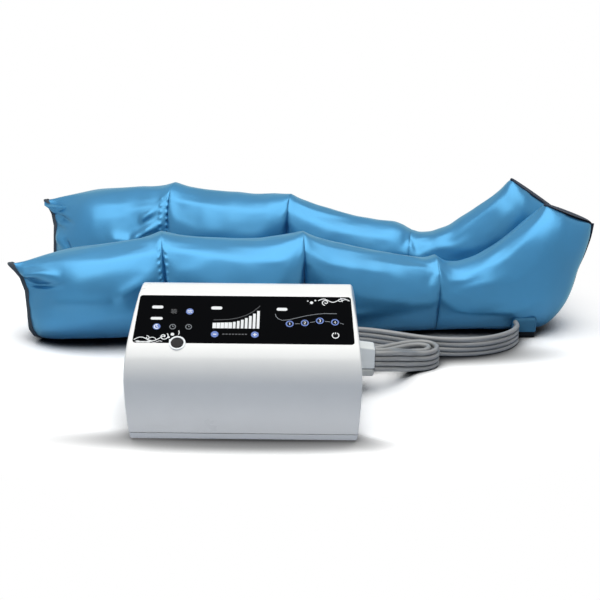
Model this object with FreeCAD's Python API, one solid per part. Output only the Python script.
"""Compression therapy pump with its two leg sleeves.

A white console with a sloped black key panel drives air through a hose plug in its
right side.  Two flat four-tube hose ribbons leave the plug, fold back and forth on the
floor and run to the foot ends of two inflated four-chamber leg sleeves that lie behind.

Units are millimetres, +Z is up, the floor is z = 0.  The origin is on the floor under the
middle of the whole set.  The console's panel faces -Y, its hose plug faces +X.
Every piece is written to parts/NODE.step, one separate solid (or group) per node.
"""
import FreeCAD, Part
import math
import os

V = FreeCAD.Vector
X_AXIS, Z_AXIS = V(1, 0, 0), V(0, 0, 1)

# ---------------------------------------------------------------- console: driving sizes
console_w = 280.0            # widest, at the front roll
console_x = -66.0            # middle of the console
console_y = -355.0           # front of the roll
foot_h = 2.0                 # rubber feet below the tray
roll_z = 79.5                # height of the foremost line of the front roll
front_roll_r = 50.0          # roll from the upright front to the panel slope
undercut = 11.0              # how far the front's foot stands back behind the roll
panel_tilt = 32.0            # panel slope from level, degrees
panel_l = 71.0               # panel slope, lower edge to upper edge
brow_r = 14.0                # from the panel slope to the flat top
top_flat = 19.0              # flat top, front to back
rear_roll_r = 90.0           # from the flat top down to the back wall
side_belly = 320.0           # radius of the sides above the roll line
side_foot_in = 4.0           # how far the sides stand in at the tray
edge_bevel = 4.1             # bevel of all outer edges
wall = 3.0                   # housing wall
seam_z = 12.0                # parting line between tray and housing
lip_h = 3.0                  # tray lip above the seam
lip_t = 1.5
slip = 0.15                  # clearance between pieces that slip together
foot_r, foot_pocket = 8.0, 1.0                   # rubber feet, and how deep they sit
foot_in, foot_front_y, foot_rear_in = 36.0, 36.0, 34.0     # in from the sides, front, back
slot_x, slot_pitch, slot_w, slot_count = 30.0, 12.0, 4.0, 7      # cooling slots in the back
slot_low, slot_high = 34.0, 74.0
vent_x, vent_pitch, vent_w, vent_count = -60.0, 24.0, 4.0, 5     # air slots in the tray
vent_front, vent_rear = 20.0, 44.0

# ---------------------------------------------------------------- panel and keys
panel_t = 1.5
panel_half_low = 131.0       # half width of the panel at its lower edge
panel_half_high = 127.3      # and at its upper edge
panel_corner_r = 4.0
ledge = 7.0                  # housing ledge under the panel's rim
notch_r = 10.0               # round notch in the panel's lower edge
badge_r = 7.6                # plain inlay in the notch
badge_x = -78.0
badge_t = 1.6
badge_up = 0.5               # inlay above the panel plane
key_r = 5.4
key_proud = 0.5
key_travel = 0.5
key_cap_h = 3.0
key_stem = 2.4               # square stem
key_gap = 0.15               # radial gap round a key
switch_free = 0.1            # free gap over a switch with its key pressed
switch_w = 6.0
switch_h = 1.6
board_t = 1.6
board_drop = 6.2             # panel surface to the key board's face
board_side, board_edge = 2.0, 3.0    # key board: in from the panel's sides, and from its edges
standoff_r, standoff_in = 2.4, 4.0
standoff_low, standoff_high = 12.0, 62.0
key_row_mode, key_row_time, key_row_pressure = 46.5, 23.5, 13.0
key_pitch = 19.0
key_left_in = 27.0           # leftmost key column, in from the panel's lower left corner
pressure_down_x, pressure_up_x = -34.5, 13.0
chamber_key_in, chamber_key_pitch = 77.0, 18.0   # first chamber key, in from the right corner
chamber_key_rise = (29.5, 31.0, 34.5, 32.5)
start_key_in = 22.5

# ---------------------------------------------------------------- inside the console
screw_in, screw_front_y, screw_rear_y = 16.0, 44.0, 128.0
post_half, post_top, rib_t = 4.5, 60.0, 3.0
pilot_r, screw_r, screw_head_r, screw_head_h = 1.6, 1.5, 3.2, 2.4
screw_len, screw_short, screw_seat = 21.0, 3.0, 4.0    # pilot hole, shank's end below its end, head's seat
pump_x, pump_y, pump_z = -66.0, 104.0, 47.0       # middle of the armature
pump_half = 50.0             # middle to the outer face of a pump head
head_r, head_l, head_wall, head_end = 21.0, 15.0, 5.0, 4.0
nipple_h = 9.0               # air nipple above a head
head_sides = 16
diaphragm_t, diaphragm_in = 2.0, 1.0         # rubber disc, and its rim in from the head's
shaft_r, shaft_gap = 4.0, 0.05
armature_l, armature_w, armature_h = 44.0, 16.0, 10.0
shaft_in = 4.0               # shaft end behind the diaphragm's outer face
core_w, core_l, core_h, core_gap = 14.0, 30.0, 32.0, 1.0
winding_in, winding_up = 3.0, 5.0
mount_r, mount_h = 6.0, 9.0
bed_half, bed_t, cradle_half, cradle_down = 34.0, 2.5, 18.0, 8.0
mount_in, mount_half = 10.0, 26.0
tube_r, rail_w = 3.0, 8.0
main_board_x, main_board_y = 24.0, 58.0
main_board_w, main_board_d = 76.0, 70.0
board_post_r, board_post_h, board_post_in = 3.0, 8.0, 5.0
# (x0, x1, y0, y1, height) of the big pieces on the main board, from its corner
power_stage = (8.0, 30.0, 12.0, 40.0, 16.0)
main_chip = (38.0, 52.0, 14.0, 28.0, 3.0)
cable_header = (36.0, 66.0, 50.0, 58.0, 9.0)
capacitor_x, capacitor_y, capacitor_r, capacitor_h = 62.0, 20.0, 6.0, 20.0
transformer_in, transformer_y = 48.0, 62.0
transformer_w, transformer_d, transformer_h = 46.0, 38.0, 40.0
core_leg, core_yoke = 9.5, 7.0       # iron beside the winding, and below and above it
valve_half, valve_h, valve_pitch, valve_count = 6.0, 30.0, 16.5, 4
manifold_in, manifold_t, leg_t = 74.0, 28.0, 8.0
manifold_y0, manifold_l, manifold_z0, manifold_z1 = 97.0, 88.0, 22.0, 62.0
first_valve = 30.0           # distributor's front to its first valve
inlet_x, inlet_z = -84.0, 40.0
inlet_w, inlet_h, inlet_depth = 27.0, 19.6, 24.0
inlet_flange, inlet_flange_t, inlet_wall = 4.0, 2.5, 2.2
pin_w, pin_h, pin_short, pin_root = 2.0, 4.0, 4.0, 1.0   # inlet pins
pin_places = ((-7.0, 2.0), (0.0, -2.0), (7.0, 2.0))
rocker_x, rocker_z = -38.0, 40.0
rocker_w, rocker_h = 19.0, 12.6
rocker_tilt = 9.0            # the rocker leans this far each way
rocker_pin_r, rocker_pin_gap = 1.2, 0.05
rocker_pin_in = 1.0          # pin's middle behind the back wall's face
switch_deep, switch_wall, switch_back = 18.0, 1.5, 4.0
switch_flange, switch_flange_t = 2.5, 1.5
rocker_side_gap, rocker_end_gap = 0.8, 0.3       # rocker to the frame, along and across
rocker_face, rocker_ear = 3.2, 1.2               # face over the pin, and its ends above that
rocker_keel, rocker_toe, rocker_toe_in = 4.2, 2.6, 0.6

# ---------------------------------------------------------------- hose plug and socket
plug_y, plug_z = 166.0, 45.2         # middle of the plug in console measures
plug_w = 25.0                        # front to back
plug_low_h, plug_up_h = 10.6, 31.0   # lower and upper shell
plug_out = 24.0                      # how far the plug stands out
plug_start = 0.6                     # gap between plug and console
plug_bevel = 6.0
nose_w, nose_h, nose_l = 21.0, 36.0, 17.0
channel_half, channel_deep = 1.6, 6.0        # air channels in the nose
nose_gap = 0.4
socket_wall = 3.0
socket_lip, socket_lip_low, lip_from_back = 4.0, 2.0, 8.0
hose_row_1, hose_row_2 = 161.0, 171.0    # the two ribbons at the plug
tube_pitch = 6.7
hose_z = 43.5                            # middle of the ribbons at the plug
ribbon_t, ribbon_h = 7.0, 27.0

# ---------------------------------------------------------------- sleeves
sleeve_1_at, sleeve_1_angle = (-415.0, -15.0), 5.0
sleeve_2_at, sleeve_2_angle = (-431.0, 297.0), -9.5
seam_s = (0.0, 223.0, 420.0, 616.0)      # weld seams along the sleeve
seam_top = (118.0, 156.0, 154.0, 108.0)  # ridge height at the seams
ridge_sag = (-7.0, 11.0, 5.5)            # ridge below the line between two seams
chamber_half = (72.0, 68.0, 55.0)        # half thickness of the pillows
seam_half = 14.0                         # half thickness at a seam
slit_half = 9.0                          # half width of the leg space
seam_gap = 0.2
cuff_back = 32.0                         # how far the cuff's lower corner stands back
foot_half = 54.0
arch_s, arch_half, arch_ramp, arch_h = 420.0, 9.0, 25.0, 31.0
band_t = 5.0
band_gap = 0.3
cuff_t, cuff_half = 3.0, 16.0
ring_steps = 8
# foot chamber: instep line, sole line and share of the full thickness, heel to toe
foot_instep = ((616.0, 108.0), (651.0, 107.0), (690.0, 121.0), (714.0, 140.0),
               (738.0, 162.0), (757.0, 178.0), (768.0, 188.0))
foot_sole = ((616.0, 0.0), (668.0, 0.0), (742.0, 0.0), (796.0, 3.0),
             (819.0, 42.0), (834.0, 100.0), (847.0, 158.0))
foot_share = (0.0, 0.72, 0.96, 1.0, 0.92, 0.66, 0.0)
port_x, port_w, port_h, port_deep = 329.5, 34.0, 30.0, 26.0
port_1_y, port_2_y = 3.0, 125.0
port_lift = 0.4

# ---------------------------------------------------------------- hose routes (x, y, z)
route_1 = [(98, -194, 43.5), (113, -194, 43.5), (130, -177, 37), (144, -152, 26),
           (158, -132, 17), (174, -123, 13.5), (188, -113, 13.5), (192, -98, 13.5),
           (186, -84, 13.5), (171, -78, 13.5), (152, -82, 13.5), (131, -92, 13.5),
           (103, -108, 13.5), (70, -117, 13.5), (35, -117, 13.5), (6, -105, 13.5),
           (-8, -82, 13.5), (-2, -58, 13.5), (20, -45, 13.5), (52, -40, 13.5),
           (85, -43, 13.5), (117, -53, 13.5), (148, -65, 13.5), (176, -74, 13.5),
           (203, -79, 13.5), (230, -79, 13.5),
           (257, -76, 13.5), (282, -66, 13.5), (303, -50, 13.5), (319, -32, 13.5),
           (330, -12, 13.5), (330, 3, 13.5)]
route_2 = [(98, -184, 43.5), (112, -184, 43.5), (127, -167, 36), (140, -143, 25),
           (153, -123, 16), (167, -115, 13.5), (178, -107, 13.5), (179, -96, 13.5),
           (169, -90, 13.5), (152, -93, 13.5), (131, -105, 13.5), (107, -117, 13.5),
           (79, -126, 13.5), (49, -129, 13.5), (18, -127, 13.5), (-9, -118, 13.5),
           (-27, -100, 13.5), (-34, -75, 13.5), (-28, -49, 13.5), (-11, -28, 13.5),
           (3, -5, 13.5), (7, 22, 13.5), (5, 50, 13.5), (8, 78, 13.5),
           (23, 99, 13.5), (51, 109, 13.5), (87, 113, 13.5), (125, 114, 13.5),
           (163, 110, 13.5), (202, 103, 13.5), (240, 98, 13.5), (274, 97, 13.5),
           (301, 99, 13.5), (320, 105, 13.5), (330, 115, 13.5), (330, 125, 13.5)]

# ---------------------------------------------------------------- worked out
slope = math.radians(panel_tilt)
panel_y = front_roll_r * (1 - math.sin(slope))
panel_z = roll_z + front_roll_r * math.cos(slope)
brow_y = panel_y + panel_l * math.cos(slope) + brow_r * math.sin(slope)
brow_z = panel_z + panel_l * math.sin(slope) - brow_r * math.cos(slope)
console_top = brow_z + brow_r
roof_end = brow_y + top_flat
console_d = roof_end + rear_roll_r
side_top_in = side_belly - math.sqrt(side_belly ** 2 - (console_top - roll_z) ** 2)
tray_floor = foot_h + wall
rail_z = pump_z + head_r + nipple_h
manifold_x0 = console_w / 2 - manifold_in
meet = 1e-5                  # points this near are one where the console's faces meet

nodes = {}


def keep(name, shape):
    """Store a finished piece under its node name."""
    nodes[name] = shape


def box(x0, x1, y0, y1, z0, z1):
    return Part.makeBox(x1 - x0, y1 - y0, z1 - z0, V(x0, y0, z0))


def rod(r, length, at, along=Z_AXIS):
    return Part.makeCylinder(r, length, at, along)


def prism(r, length, at, along=Z_AXIS, sides=12):
    """Many-sided bar for a small round piece, its corners on radius r."""
    turns = [2 * math.pi * i / sides for i in range(sides + 1)]
    outline = Part.makePolygon([V(r * math.cos(a), r * math.sin(a), 0) for a in turns])
    bar = Part.Face(outline).extrude(V(0, 0, length))
    bar.Placement = FreeCAD.Placement(at, FreeCAD.Rotation(Z_AXIS, along))
    return bar


def block(middle, half, z0, z1):
    """Upright square block about a place in plan."""
    x, y = middle
    return box(x - half, x + half, y - half, y + half, z0, z1)


def slab(z0, z1):
    """Everything between two heights, wider than the console."""
    return box(-console_w, console_w, -console_w, 2 * console_w, z0, z1)


def fuse(shapes):
    """One clean solid from shapes that touch or overlap."""
    return shapes[0].multiFuse(shapes[1:]).removeSplitter()


def group(shapes):
    """Separate solids of one kind in one node."""
    return Part.makeCompound([s for shape in shapes for s in shape.Solids])


def arc(centre, r, start, end, put):
    """Arc about a 2-D centre, angles in degrees, put() lifting its points into 3-D."""
    points = []
    for angle in (start, (start + end) / 2, end):
        a = math.radians(angle)
        points.append(put(centre[0] + r * math.cos(a), centre[1] + r * math.sin(a)))
    return Part.Arc(*points).toShape()


# ================================================================ console housing
def side_profile():
    """Outline seen from the right side: undercut front, roll, panel slope, top, rear roll."""
    def put(y, z):
        return V(0, y, z)
    drop = roll_z - foot_h
    low_r = (drop ** 2 + undercut ** 2) / (2 * undercut)
    low_angle = math.degrees(math.asin(drop / low_r))
    rear_z = console_top - rear_roll_r
    slope_end = put(panel_y + panel_l * math.cos(slope), panel_z + panel_l * math.sin(slope))
    return Part.Wire([
        arc((low_r, roll_z), low_r, 180 + low_angle, 180, put),
        arc((front_roll_r, roll_z), front_roll_r, 180, 90 + panel_tilt, put),
        Part.makeLine(put(panel_y, panel_z), slope_end),
        arc((brow_y, brow_z), brow_r, 90 + panel_tilt, 90, put),
        Part.makeLine(put(brow_y, console_top), put(roof_end, console_top)),
        arc((roof_end, rear_z), rear_roll_r, 90, 0, put),
        Part.makeLine(put(console_d, rear_z), put(console_d, foot_h)),
        Part.makeLine(put(console_d, foot_h), put(undercut, foot_h)),
    ])


def front_profile():
    """Outline seen from the front: sides that belly out to the roll line."""
    def put(x, z):
        return V(x, 0, z)
    half = console_w / 2
    drop = roll_z - foot_h
    low_r = (drop ** 2 + side_foot_in ** 2) / (2 * side_foot_in)
    low = math.degrees(math.asin(drop / low_r))
    high = math.degrees(math.asin((console_top - roll_z) / side_belly))
    top_half = half - side_top_in
    low_half = half - side_foot_in
    return Part.Wire([
        arc((half - low_r, roll_z), low_r, -low, 0, put),
        arc((half - side_belly, roll_z), side_belly, 0, high, put),
        Part.makeLine(put(top_half, console_top), put(-top_half, console_top)),
        arc((side_belly - half, roll_z), side_belly, 180 - high, 180, put),
        arc((low_r - half, roll_z), low_r, 180, 180 + low, put),
        Part.makeLine(put(-low_half, foot_h), put(low_half, foot_h)),
    ])


def console_body(inset):
    """The console's full form, with every face moved in by inset."""
    side, front = side_profile(), front_profile()
    if inset:
        side, front = side.makeOffset2D(-inset), front.makeOffset2D(-inset)
    across = Part.Face(side).extrude(V(console_w + 2 * wall, 0, 0))
    across.translate(V(-console_w / 2 - wall, 0, 0))
    along = Part.Face(front).extrude(V(0, console_d + 2 * wall, 0))
    along.translate(V(0, -wall, 0))
    return across.common([along], meet).Solids[0]


def bevelled_body():
    """The outer form with its edges bevelled; the tangent roll lines stay as they are."""
    body = console_body(0)
    edges = []
    for edge in body.Edges:
        middle = edge.CenterOfMass
        along_roll = abs(middle.z - roll_z) < 0.5 and abs(edge.tangentAt(edge.FirstParameter).y) > 0.9
        if abs(middle.x) > 0.35 * console_w and not along_roll:
            edges.append(edge)
    return body.makeChamfer(edge_bevel, edges)


def on_panel(shape):
    """Move a shape from panel measures (x, up the slope, out of the panel) into place."""
    moved = shape.copy()
    turn = FreeCAD.Placement(V(0, panel_y, panel_z), FreeCAD.Rotation(X_AXIS, panel_tilt))
    moved.Placement = turn.multiply(moved.Placement)
    return moved


def panel_plate(grow, low, high):
    """Panel outline grown by grow, from height low to high, with the round notch."""
    a, b = panel_half_low + grow, panel_half_high + grow
    points = [V(-a, -grow, low), V(a, -grow, low), V(b, panel_l + grow, low), V(-b, panel_l + grow, low)]
    plate = Part.Face(Part.makePolygon(points + points[:1])).extrude(V(0, 0, high - low))
    upright = [e for e in plate.Edges if abs(e.tangentAt(e.FirstParameter).z) > 0.99]
    plate = plate.makeFillet(panel_corner_r + grow, upright)
    return plate.cut(rod(notch_r - grow, high - low, V(badge_x, 0, low)))


def window_plate(low, high):
    """Opening under the panel that leaves the ledge its rim rests on."""
    a, b = panel_half_low - ledge, panel_half_high - ledge
    points = [V(-a, ledge, low), V(a, ledge, low), V(b, panel_l - ledge, low), V(-b, panel_l - ledge, low)]
    plate = Part.Face(Part.makePolygon(points + points[:1])).extrude(V(0, 0, high - low))
    return plate.cut(rod(notch_r + ledge / 2, high - low, V(badge_x, 0, low)))


def screw_places():
    return [(sx * (console_w / 2 - screw_in), sy) for sx in (-1, 1)
            for sy in (screw_front_y, screw_rear_y)]


def screw_posts():
    """Housing posts for the tray screws, each ribbed to its side wall."""
    posts = []
    for sx, sy in screw_places():
        reach = math.copysign(console_w / 2, sx)
        rib = box(min(sx, reach), max(sx, reach), sy - rib_t / 2, sy + rib_t / 2, seam_z + lip_h + 1, post_top)
        posts += [block((sx, sy), post_half, seam_z, post_top), rib]
    return posts


def rear_cut(x, z, w, h, low_y):
    """Opening through the back wall, from low_y out, with slip all round a w by h piece."""
    return box(x - w / 2 - slip, x + w / 2 + slip, low_y, console_d + wall, z - h / 2 - slip, z + h / 2 + slip)


def rear_slots():
    """Cooling slots in the back."""
    starts = [slot_x + slot_pitch * i for i in range(slot_count)]
    return [box(x, x + slot_w, console_d - 2 * wall, console_d + wall, slot_low, slot_high) for x in starts]


def housing(outer, inner):
    shell = outer.cut(inner).common(slab(seam_z, 2 * console_top))
    shell = shell.fuse([p.common(outer) for p in screw_posts()]).removeSplitter()
    above = 2 * panel_l
    cuts = [on_panel(panel_plate(slip, -panel_t, above)),
            on_panel(window_plate(-3 * wall, 0)),
            on_panel(rod(badge_r + slip, above, V(badge_x, 0, badge_up - badge_t))),
            rear_cut(inlet_x, inlet_z, inlet_w, inlet_h, console_d - 2 * wall),
            rear_cut(rocker_x, rocker_z, rocker_w, rocker_h, console_d - 2 * wall),
            socket_opening(slip)]
    cuts += rear_slots()
    cuts += [prism(pilot_r, screw_len, V(sx, sy, seam_z - 1)) for sx, sy in screw_places()]
    return shell.cut(cuts)


def lip_ring(start, z0, z1):
    """Ring along the walls from inset start to the lip's inner face, between two heights."""
    return console_body(start).cut(console_body(wall + slip + lip_t)).common(slab(z0, z1))


def base_tray(outer, inner):
    """Lower shell: a tray with a lip that slips into the housing."""
    tray = outer.cut(inner).common(slab(0, seam_z))
    lip = [lip_ring(wall, seam_z - lip_h, seam_z), lip_ring(wall + slip, seam_z, seam_z + lip_h)]
    seats = [block(place, post_half + 1, tray_floor, seam_z - slip) for place in screw_places()]
    posts = [block(place, board_post_r, tray_floor, tray_floor + board_post_h) for place in board_posts()]
    tray = fuse([tray] + lip + seats + posts)
    seat_z = foot_h + screw_seat
    cuts = [prism(pilot_r + slip, seam_z, V(sx, sy, 0)) for sx, sy in screw_places()]
    cuts += [prism(screw_head_r + slip, seat_z, V(sx, sy, 0)) for sx, sy in screw_places()]
    cuts += [prism(foot_r + slip, foot_h + foot_pocket, V(fx, fy, 0)) for fx, fy in foot_places()]
    starts = [vent_x + vent_pitch * i for i in range(vent_count)]
    cuts += [box(x, x + vent_w, vent_front, vent_rear, 0, tray_floor + 1) for x in starts]
    return tray.cut(cuts)


def foot_places():
    return [(sx * (console_w / 2 - foot_in), sy) for sx in (-1, 1)
            for sy in (foot_front_y, console_d - foot_rear_in)]


def rubber_feet():
    return group([prism(foot_r, foot_h + foot_pocket, V(fx, fy, 0)) for fx, fy in foot_places()])


def tray_screws():
    """Four screws from below, each with its head in the tray and its shank up in a post."""
    seat_z = foot_h + screw_seat
    screws = []
    for sx, sy in screw_places():
        head = prism(screw_head_r, screw_head_h, V(sx, sy, seat_z - screw_head_h))
        screws.append(fuse([head, prism(screw_r, screw_len - screw_short, V(sx, sy, seat_z))]))
    return group(screws)


# ================================================================ panel, keys, key board
def key_places():
    """Key names with their places on the panel."""
    left, right = key_left_in - panel_half_low, panel_half_low - chamber_key_in
    places = {"key_mode_1": (left + key_pitch, key_row_mode),
              "key_mode_2": (left + 2 * key_pitch, key_row_mode)}
    for i in range(3):
        places["key_time_%d" % (i + 1)] = (left + i * key_pitch, key_row_time)
    places["key_pressure_down"] = (pressure_down_x, key_row_pressure)
    places["key_pressure_up"] = (pressure_up_x, key_row_pressure)
    for i, rise in enumerate(chamber_key_rise):
        places["key_chamber_%d" % (i + 1)] = (right + i * chamber_key_pitch, rise)
    places["key_start"] = (panel_half_low - start_key_in, key_row_pressure)
    return places


def control_panel():
    plate = panel_plate(0, -panel_t, 0)
    holes = [prism(key_r + key_gap, panel_t, V(x, w, -panel_t)) for x, w in key_places().values()]
    return on_panel(plate.cut(holes))


def key(x, w):
    """Key cap with a square stem that ends just over its switch."""
    cap = prism(key_r, key_cap_h, V(x, w, key_proud - key_cap_h))
    stem_end = switch_h + key_travel + switch_free - board_drop
    return on_panel(fuse([cap, block((x, w), key_stem / 2, stem_end, key_proud - key_cap_h)]))


def key_board():
    """Board under the panel with one switch per key, hung on four stand-offs."""
    low, high = board_edge, panel_l - board_edge
    half_low, half_high = panel_half_low - board_side, panel_half_high - board_side
    face = -board_drop
    points = [V(-half_low, low, face), V(half_low, low, face),
              V(half_high, high, face), V(-half_high, high, face)]
    board = Part.Face(Part.makePolygon(points + points[:1])).extrude(V(0, 0, -board_t))
    parts = [block(place, switch_w / 2, face, face + switch_h) for place in key_places().values()]
    for side in (-1, 1):
        for w in (standoff_low, standoff_high):
            half = panel_half_low + (panel_half_high - panel_half_low) * w / panel_l
            parts.append(block((side * (half - standoff_in), w), standoff_r, face, -wall))
    return on_panel(fuse([board] + parts))


def badge():
    """Plain round inlay in the panel's notch."""
    return on_panel(prism(badge_r, badge_t, V(badge_x, 0, badge_up - badge_t), sides=24))


# ================================================================ works inside
def board_posts():
    dx, dy = main_board_w / 2 - board_post_in, main_board_d / 2 - board_post_in
    return [(main_board_x + sx * dx, main_board_y + sy * dy) for sx in (-1, 1) for sy in (-1, 1)]


def main_board():
    """Controller board with its power stage, chips and plug headers."""
    x0, y0 = main_board_x - main_board_w / 2, main_board_y - main_board_d / 2
    z0 = tray_floor + board_post_h
    z1 = z0 + board_t
    parts = [box(x0, x0 + main_board_w, y0, y0 + main_board_d, z0, z1)]
    for a, b, c, d, height in (power_stage, main_chip, cable_header):
        parts.append(box(x0 + a, x0 + b, y0 + c, y0 + d, z1, z1 + height))
    parts.append(prism(capacitor_r, capacitor_h, V(x0 + capacitor_x, y0 + capacitor_y, z1)))
    return fuse(parts)


def transformer():
    """Mains transformer: laminated core with its winding standing out at both faces."""
    x, y = console_w / 2 - transformer_in, transformer_y
    core = box(x - transformer_w / 2, x + transformer_w / 2, y - transformer_d / 4, y + transformer_d / 4,
               tray_floor, tray_floor + transformer_h)
    winding_half = transformer_w / 2 - core_leg
    winding = box(x - winding_half, x + winding_half, y - transformer_d / 2, y + transformer_d / 2,
                  tray_floor + core_yoke, tray_floor + transformer_h - core_yoke)
    return fuse([core, winding])


def pump_mounts():
    """Four rubber mounts between the tray and the pump's bed."""
    dx = pump_half - mount_in
    return group([prism(mount_r, mount_h, V(pump_x + sx * dx, pump_y + sy * mount_half, tray_floor))
                  for sx in (-1, 1) for sy in (-1, 1)])


def head_start(side):
    """Left end of the pump head on that side."""
    outer = pump_x + side * pump_half
    return min(outer, outer - side * head_l)


def core_centre(side):
    return pump_y + side * (armature_w / 2 + core_gap + core_w / 2)


def core_box(side, shrink, z0, z1):
    """Block about one coil core, drawn in by shrink."""
    y, half_l, half_w = core_centre(side), core_l / 2 - shrink, core_w / 2 - shrink
    return box(pump_x - half_l, pump_x + half_l, y - half_w, y + half_w, z0, z1)


def pump_bed():
    """Bed plate with one cradle per pump head and the two core seats."""
    z0 = tray_floor + mount_h
    parts = [box(pump_x - pump_half, pump_x + pump_half, pump_y - bed_half, pump_y + bed_half, z0, z0 + bed_t)]
    bores = []
    for side in (-1, 1):
        start = head_start(side)
        parts.append(box(start, start + head_l, pump_y - cradle_half, pump_y + cradle_half, z0,
                         pump_z - cradle_down))
        parts.append(core_box(side, 0, z0, pump_z - core_h / 2))
        bores.append(prism(head_r, head_l + 2, V(start - 1, pump_y, pump_z), X_AXIS, head_sides))
    return fuse(parts).cut(bores)


def pump_heads():
    """Two heads, each a cup that faces the armature, with an air nipple on top."""
    heads = []
    for side in (-1, 1):
        start = head_start(side)
        cup = prism(head_r, head_l, V(start, pump_y, pump_z), X_AXIS, head_sides)
        nipple = prism(tube_r, head_r + nipple_h, V(start + head_l / 2, pump_y, pump_z))
        hollow_start = start - head_end if side > 0 else start + head_end
        hollow = prism(head_r - head_wall, head_l, V(hollow_start, pump_y, pump_z), X_AXIS, head_sides)
        heads.append(fuse([cup, nipple]).cut(hollow))
    return group(heads)


def pump_diaphragms():
    """Rubber discs on the inner faces of the heads, round the armature's shaft."""
    discs = []
    for side in (-1, 1):
        face = pump_x + side * (pump_half - head_l)
        start = min(face, face - side * diaphragm_t)
        disc = prism(head_r - diaphragm_in, diaphragm_t, V(start, pump_y, pump_z), X_AXIS, head_sides)
        hole = rod(shaft_r + shaft_gap, diaphragm_t + 2, V(start - 1, pump_y, pump_z), X_AXIS)
        discs.append(disc.cut(hole))
    return group(discs)


def pump_armature():
    """Magnet bar that shakes between the coils, with a shaft into each diaphragm."""
    bar = box(pump_x - armature_l / 2, pump_x + armature_l / 2, pump_y - armature_w / 2,
              pump_y + armature_w / 2, pump_z - armature_h / 2, pump_z + armature_h / 2)
    reach = pump_half - head_l + shaft_in
    return fuse([bar, rod(shaft_r, 2 * reach, V(pump_x - reach, pump_y, pump_z), X_AXIS)])


def pump_coils():
    """One wound core on each side of the armature."""
    low, high = pump_z - core_h / 2, pump_z + core_h / 2
    return group([fuse([core_box(side, 0, low, high), core_box(side, winding_in, high, high + winding_up)])
                  for side in (-1, 1)])


def valve_manifold():
    """Air distributor on two legs, with the outlet face towards the hose socket."""
    x0, x1 = manifold_x0, manifold_x0 + manifold_t
    y0, y1 = manifold_y0, manifold_y0 + manifold_l
    body = box(x0, x1, y0, y1, manifold_z0, manifold_z1)
    return fuse([body] + [box(x0, x1, y, y + leg_t, tray_floor, manifold_z0) for y in (y0, y1 - leg_t)])


def solenoid_valves():
    """One solenoid valve per sleeve chamber on top of the distributor."""
    x = manifold_x0 + manifold_t / 2
    places = [(x, manifold_y0 + first_valve + valve_pitch * i) for i in range(valve_count)]
    return group([block(place, valve_half, manifold_z1, manifold_z1 + valve_h) for place in places])


def outlet_tubes():
    """Two flat four-tube strips from the distributor to the back of the hose socket."""
    low = hose_z - ribbon_h / 2
    return group([box(manifold_x0 + manifold_t, socket_back(), y - ribbon_t / 2, y + ribbon_t / 2, low,
                      low + ribbon_h) for y in (hose_row_1, hose_row_2)])


def rail_end():
    """Middle of the drop from the cross duct to the distributor."""
    return manifold_x0 + rail_w / 2


def air_rail():
    """Square cross duct on the nipples of both heads, reaching over the distributor."""
    start = pump_x - pump_half + head_l / 2 - rail_w / 2
    return box(start, rail_end() + rail_w / 2, pump_y - rail_w / 2, pump_y + rail_w / 2,
               rail_z, rail_z + rail_w)


def supply_tube():
    """Short tube from the cross duct down to the distributor."""
    return prism(tube_r, rail_z - manifold_z1, V(rail_end(), pump_y, manifold_z1))


# ================================================================ rear inlet and switch
def rear_box(x, z, w, h, y0, y1):
    return box(x - w / 2, x + w / 2, y0, y1, z - h / 2, z + h / 2)


def power_inlet():
    """Three-pin appliance inlet: flanged cup in the back wall with its pins."""
    back = console_d - inlet_depth
    cup = rear_box(inlet_x, inlet_z, inlet_w, inlet_h, back, console_d)
    flange = rear_box(inlet_x, inlet_z, inlet_w + 2 * inlet_flange, inlet_h + 2 * inlet_flange,
                      console_d, console_d + inlet_flange_t)
    hollow = rear_box(inlet_x, inlet_z, inlet_w - 2 * inlet_wall, inlet_h - 2 * inlet_wall,
                      back + inlet_wall, console_d + 5)
    pins = [rear_box(inlet_x + dx, inlet_z + dz, pin_w, pin_h, back + pin_root, console_d - pin_short)
            for dx, dz in pin_places]
    return fuse([cup.fuse(flange).cut(hollow)] + pins)


def rocker_pivot_y():
    return console_d - rocker_pin_in


def switch_frame():
    """Switch housing with the two pin stubs the rocker turns on."""
    back = console_d - switch_deep
    cup = rear_box(rocker_x, rocker_z, rocker_w, rocker_h, back, console_d)
    flange = rear_box(rocker_x, rocker_z, rocker_w + 2 * switch_flange, rocker_h + 2 * switch_flange,
                      console_d, console_d + switch_flange_t)
    hollow = rear_box(rocker_x, rocker_z, rocker_w - 2 * switch_wall, rocker_h - 2 * switch_wall,
                      back + switch_back, console_d + 2 * switch_flange_t)
    frame = cup.fuse(flange).cut(hollow)
    pin_l = rocker_h - switch_wall
    pin = rod(rocker_pin_r, pin_l, V(rocker_x, rocker_pivot_y(), rocker_z - pin_l / 2))
    return fuse([frame, pin])


def switch_rocker():
    """Two-faced rocker on its pin, leaning to the off side."""
    y = rocker_pivot_y()
    half, toe = rocker_w / 2 - switch_wall - rocker_side_gap, rocker_toe
    ear = rocker_face * (1 + math.tan(math.radians(rocker_tilt))) + rocker_ear
    low_half = half - rocker_toe_in
    points = [V(-low_half, -toe, 0), V(0, -rocker_keel, 0), V(low_half, -toe, 0), V(half, ear, 0),
              V(0, rocker_face, 0), V(-half, ear, 0)]
    height = rocker_h - 2 * switch_wall - 2 * rocker_end_gap
    body = Part.Face(Part.makePolygon(points + points[:1])).extrude(V(0, 0, height))
    body = body.cut(rod(rocker_pin_r + rocker_pin_gap, height + 2, V(0, 0, -1)))
    body.rotate(V(0, 0, 0), Z_AXIS, rocker_tilt)
    body.translate(V(rocker_x, y, rocker_z - height / 2))
    return body


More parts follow.
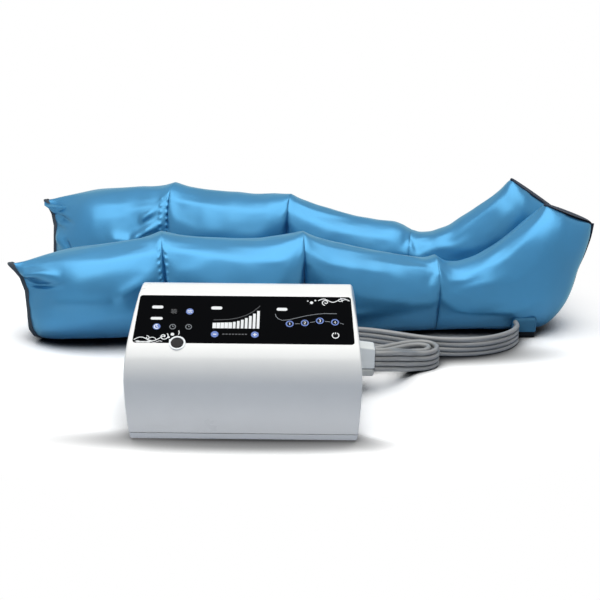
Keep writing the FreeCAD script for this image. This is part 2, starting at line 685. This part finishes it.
# ================================================================ hose socket and plug
def socket_opening(grow):
    half_w = nose_w / 2 + nose_gap + socket_wall + grow
    half_h = nose_h / 2 + nose_gap + socket_wall + grow
    return box(console_w / 2 - 30, console_w / 2 + 20, plug_y - half_w, plug_y + half_w,
               plug_z - half_h, plug_z + half_h)


def socket_back():
    return console_w / 2 - nose_l - nose_gap - socket_wall


def hose_socket(outer):
    """Socket that the plug's nose fills: a cup in the side wall with a lip inside it."""
    wide, tall = nose_w / 2 + nose_gap, nose_h / 2 + nose_gap
    x0, x1 = socket_back(), console_w / 2 + 5
    cup = box(x0, x1, plug_y - wide - socket_wall, plug_y + wide + socket_wall,
              plug_z - tall - socket_wall, plug_z + tall + socket_wall).common(outer)
    lip_y = wide + socket_wall + socket_lip
    lip = box(x0 + lip_from_back, x1, plug_y - lip_y, plug_y + lip_y,
              plug_z - tall - socket_wall - socket_lip_low, plug_z + tall + socket_wall + socket_lip)
    lip = lip.common(console_body(wall + slip))
    hollow = box(x0 + socket_wall, x1, plug_y - wide, plug_y + wide, plug_z - tall, plug_z + tall)
    return fuse([cup, lip]).cut(hollow)


def plug_block(z0, z1):
    x0 = console_w / 2 + plug_start
    return box(x0, console_w / 2 + plug_out, plug_y - plug_w / 2, plug_y + plug_w / 2, z0, z1)


def plug_floor():
    return plug_z - (plug_low_h + plug_up_h) / 2


def plug_upper_shell():
    block = plug_block(plug_floor() + plug_low_h, plug_floor() + plug_low_h + plug_up_h)
    right = console_w / 2 + plug_out
    bevel_edges = [e for e in block.Edges if abs(e.CenterOfMass.x - right) < 0.1
                   and abs(e.CenterOfMass.z - block.BoundBox.ZMax) < 0.1]
    return block.makeChamfer(plug_bevel / 2, bevel_edges)


def plug_lower_shell():
    block = plug_block(plug_floor(), plug_floor() + plug_low_h)
    right = console_w / 2 + plug_out
    low_edges = [e for e in block.Edges if abs(e.CenterOfMass.x - right) < 0.1
                 and abs(e.CenterOfMass.z - plug_floor()) < 0.1]
    return block.makeFillet(plug_bevel / 2, low_edges)


def plug_nose():
    """Nose with the air channels, from the shells into the socket."""
    x1 = console_w / 2 + plug_start
    nose = box(x1 - nose_l, x1, plug_y - nose_w / 2, plug_y + nose_w / 2,
               plug_z - nose_h / 2, plug_z + nose_h / 2)
    start = x1 - nose_l - 1
    channels = []
    for y in (hose_row_1, hose_row_2):
        for i in range(4):
            z = hose_z + (i - 1.5) * tube_pitch
            channels.append(box(start, start + channel_deep + 1, y - channel_half, y + channel_half,
                                z - channel_half, z + channel_half))
    return nose.cut(channels)


# ================================================================ hose ribbons
def run_and_arc_path(points):
    """Straight runs joined by tangent arcs; each arc takes 0.45 of its shorter run."""
    edges, radii, start = [], [], points[0]
    for before, corner, after in zip(points, points[1:], points[2:]):
        into, out = corner - before, after - corner
        reach = 0.45 * min(into.Length, out.Length)
        turn = into.getAngle(out)
        into.normalize()
        out.normalize()
        enter, leave = corner - into * reach, corner + out * reach
        radius = reach / math.tan(turn / 2)
        to_centre = (out - into).normalize()
        middle = corner + to_centre * (radius * (1 / math.cos(turn / 2) - 1))
        edges += [Part.LineSegment(start, enter).toShape(), Part.Arc(enter, middle, leave).toShape()]
        radii.append(radius)
        start = leave
    edges.append(Part.LineSegment(start, points[-1]).toShape())
    return Part.Wire(edges), radii


def hose_ribbon(name, route):
    """Four tubes side by side, kept as one flat strip on edge along the route."""
    points = [V(*p) for p in route]
    path, radii = run_and_arc_path(points)
    side = ribbon_t / 2
    first = (points[1] - points[0]).normalize()
    across = Z_AXIS.cross(first)
    a, b = across * side, Z_AXIS * (ribbon_h / 2)
    corners = [points[0] + a + b, points[0] - a + b, points[0] - a - b, points[0] + a - b]
    pipe = Part.BRepOffsetAPI.MakePipeShell(path)
    pipe.setBiNormalMode(Z_AXIS)
    pipe.add(Part.makePolygon(corners + corners[:1]))
    pipe.build()
    pipe.makeSolid()
    solid = pipe.shape()
    print(name, "length %.0f mm, tightest bend %.1f mm, volume / (section x length) %.4f"
          % (path.Length, min(radii), solid.Volume / (ribbon_t * ribbon_h * path.Length)))
    print("   bend radii", [round(r) for r in radii])
    return solid


# ================================================================ sleeves
def ridge_z(chamber, t):
    line = seam_top[chamber] + (seam_top[chamber + 1] - seam_top[chamber]) * t
    return line - ridge_sag[chamber] * math.sin(math.pi * t) ** 0.7


def floor_line(s):
    """Lower edge: on the floor, with an arch at the middle seam where a hose may pass."""
    away = abs(s - arch_s) - arch_half
    if away <= 0:
        return arch_h
    return max(0.0, arch_h * (1 - away / arch_ramp))


def chamber_stations(chamber):
    """(top, bottom, half thickness) along one pillow, from seam to seam."""
    start, end = seam_s[chamber], seam_s[chamber + 1]
    shares = {0: (0, 0.1, 0.3, 0.6, 0.88, 1), 1: (0, 0.12, 0.35, 0.65, 0.83, 0.955, 1),
              2: (0, 0.045, 0.17, 0.4, 0.68, 0.9, 1)}[chamber]
    stations = []
    for t in shares:
        s = start + (end - start) * t
        low_s = s + cuff_back * (1 - t) ** 3 if chamber == 0 else s
        fill = math.sin(math.pi * min(t, 1)) ** 0.5 if 0 < t < 1 else 0
        half = seam_half + (chamber_half[chamber] - seam_half) * fill
        stations.append(((s, ridge_z(chamber, t)), (low_s, floor_line(s)), half))
    return stations


def foot_stations():
    stations = []
    for instep, sole, share in zip(foot_instep, foot_sole, foot_share):
        stations.append((instep, sole, seam_half + (foot_half - seam_half) * share))
    return stations


def half_ring(station, side):
    """Outside of one half pillow at a station, from its top edge round to its lower edge."""
    (ts, tz), (bs, bz), half = station
    points = []
    for i in range(ring_steps + 1):
        angle = math.pi / 2 - math.pi * i / ring_steps
        up, bulge = math.sin(angle), math.cos(angle)
        s = (ts + bs) / 2 + up * (ts - bs) / 2
        z = (tz + bz) / 2 + up * (tz - bz) / 2
        points.append(V(s, side * (slit_half + (half - slit_half) * bulge), z))
    return points


def flat_face(points):
    return Part.Face(Part.makePolygon(points + points[:1]))


def half_pillow(stations, side):
    """One half of an air chamber: flat at the leg space, bulging outside, in flat facets."""
    rings = [half_ring(station, side) for station in stations]
    faces = [flat_face(rings[0]), flat_face(rings[-1])]
    faces.append(flat_face([ring[0] for ring in rings] + [ring[-1] for ring in rings[::-1]]))
    for near, far in zip(rings, rings[1:]):
        for a, b, c, d in zip(near, near[1:], far[1:], far):
            faces += [flat_face([a, b, c]), flat_face([a, c, d])]
    shell = Part.makeShell(faces)
    shell.sewShape()
    solid = Part.makeSolid(shell)
    if solid.Volume < 0:
        solid.reverse()
    return solid


def pillow(stations):
    """Outer and inner half of one air chamber, with the leg space between them."""
    return [half_pillow(stations, side) for side in (-1, 1)]


def trimmed(stations):
    """The same stations with the seam ends drawn back by the seam gap."""
    out = [list(s) for s in stations]
    for end, sign in ((0, 1), (-1, -1)):
        (ts, tz), (bs, bz), half = out[end]
        out[end] = ((ts + sign * seam_gap, tz), (bs + sign * seam_gap, bz), half)
    return out


def sleeve_stations():
    return [chamber_stations(0), chamber_stations(1), chamber_stations(2), foot_stations()]


def edge_band(outline, inward):
    """Flat strip that joins the two walls of the sleeve along an outline of (s, z)."""
    inner = []
    for i, (s, z) in enumerate(outline):
        before, after = outline[max(i - 1, 0)], outline[min(i + 1, len(outline) - 1)]
        ds, dz = after[0] - before[0], after[1] - before[1]
        size = math.hypot(ds, dz)
        inner.append((s + inward * band_t * dz / size, z - inward * band_t * ds / size))
    width = slit_half - band_gap
    return flat_face([V(s, -width, z) for s, z in outline + inner[::-1]]).extrude(V(0, 2 * width, 0))


def short_of(start, end, gap):
    """Point on the way from start to end, gap before the end."""
    share = 1 - gap / math.hypot(end[0] - start[0], end[1] - start[1])
    return (start[0] + (end[0] - start[0]) * share, start[1] + (end[1] - start[1]) * share)


def unique(points):
    """The points of a line without those that repeat the one before."""
    out = []
    for p in points:
        if not out or math.hypot(p[0] - out[-1][0], p[1] - out[-1][1]) > 1.0:
            out.append(p)
    return out


def sleeve(tag, at, turn):
    """One leg sleeve: four chambers, edge bands and the cuff's binding."""
    place = FreeCAD.Placement(V(at[0], at[1], 0), FreeCAD.Rotation(Z_AXIS, turn))

    def put(name, shapes):
        shape = group(shapes)
        shape.Placement = place
        keep(name + "_" + tag, shape)

    stations = sleeve_stations()
    for name, one in zip(("thigh_chamber", "knee_chamber", "calf_chamber", "foot_chamber"), stations):
        put(name, pillow(trimmed(one)))
    tops = unique([s[0] for one in stations for s in one])
    lows = unique([s[1] for one in stations for s in one])
    put("upper_band", [edge_band(tops, 1)])
    put("lower_band", [edge_band(lows + [short_of(lows[-1], tops[-1], 2 * band_t)], -1)])
    top, low = stations[0][0][:2]
    low = short_of(top, low, 1.0)
    cuff = []
    for side in (-1, 1):
        inner, outer = side * slit_half, side * cuff_half
        corners = [top, (top[0] - cuff_t, top[1]), (low[0] - cuff_t, low[1]), low]
        cuff.append(flat_face([V(s, inner, z) for s, z in corners]).extrude(V(0, outer - inner, 0)))
    put("cuff_binding", cuff)


def hose_port(tag, y):
    """Welded-on port that takes the ribbon's four tubes, shaped to the foot chamber."""
    body = box(port_x - port_w / 2, port_x + port_w / 2, y, y + port_deep, port_lift, port_lift + port_h)
    for name in ("foot_chamber_", "lower_band_"):
        body = body.cut(nodes[name + tag])
    near = [s for s in body.Solids if s.BoundBox.YMin < y + 0.1]
    keep("hose_port_" + tag, near[0])


# ================================================================ assembly
def build_console():
    outer, inner = bevelled_body(), console_body(wall)
    keep("housing", housing(outer, inner))
    keep("base_tray", base_tray(outer, inner))
    keep("rubber_feet", rubber_feet())
    keep("tray_screws", tray_screws())
    keep("control_panel", control_panel())
    keep("badge_inlay", badge())
    for name, (x, w) in key_places().items():
        keep(name, key(x, w))
    keep("key_board", key_board())
    keep("main_board", main_board())
    keep("transformer", transformer())
    keep("pump_mounts", pump_mounts())
    keep("pump_bed", pump_bed())
    keep("pump_heads", pump_heads())
    keep("pump_diaphragms", pump_diaphragms())
    keep("pump_armature", pump_armature())
    keep("pump_coils", pump_coils())
    keep("valve_manifold", valve_manifold())
    keep("solenoid_valves", solenoid_valves())
    keep("outlet_tubes", outlet_tubes())
    keep("air_rail", air_rail())
    keep("supply_tube", supply_tube())
    keep("power_inlet", power_inlet())
    keep("switch_frame", switch_frame())
    keep("switch_rocker", switch_rocker())
    keep("hose_socket", hose_socket(outer))
    keep("plug_upper_shell", plug_upper_shell())
    keep("plug_lower_shell", plug_lower_shell())
    keep("plug_nose", plug_nose())
    for shape in nodes.values():
        shape.translate(V(console_x, console_y, 0))


def build_set():
    """Hoses and sleeves, already in the set's own place."""
    sleeve("front", sleeve_1_at, sleeve_1_angle)
    sleeve("rear", sleeve_2_at, sleeve_2_angle)
    hose_port("front", port_1_y)
    hose_port("rear", port_2_y)
    keep("hose_ribbon_front", hose_ribbon("hose_ribbon_front", route_1))
    keep("hose_ribbon_rear", hose_ribbon("hose_ribbon_rear", route_2))


build_console()
build_set()
os.makedirs("parts", exist_ok=True)
for node, shape in nodes.items():
    shape.exportStep("parts/%s.step" % node)
    print("%-22s solids %d volume %.0f valid %s" % (node, len(shape.Solids), shape.Volume, shape.isValid()))
whole = Part.makeCompound([s for n, s in nodes.items() if not n.startswith("hose_ribbon")])
print("nodes", len(nodes), "box", whole.BoundBox)
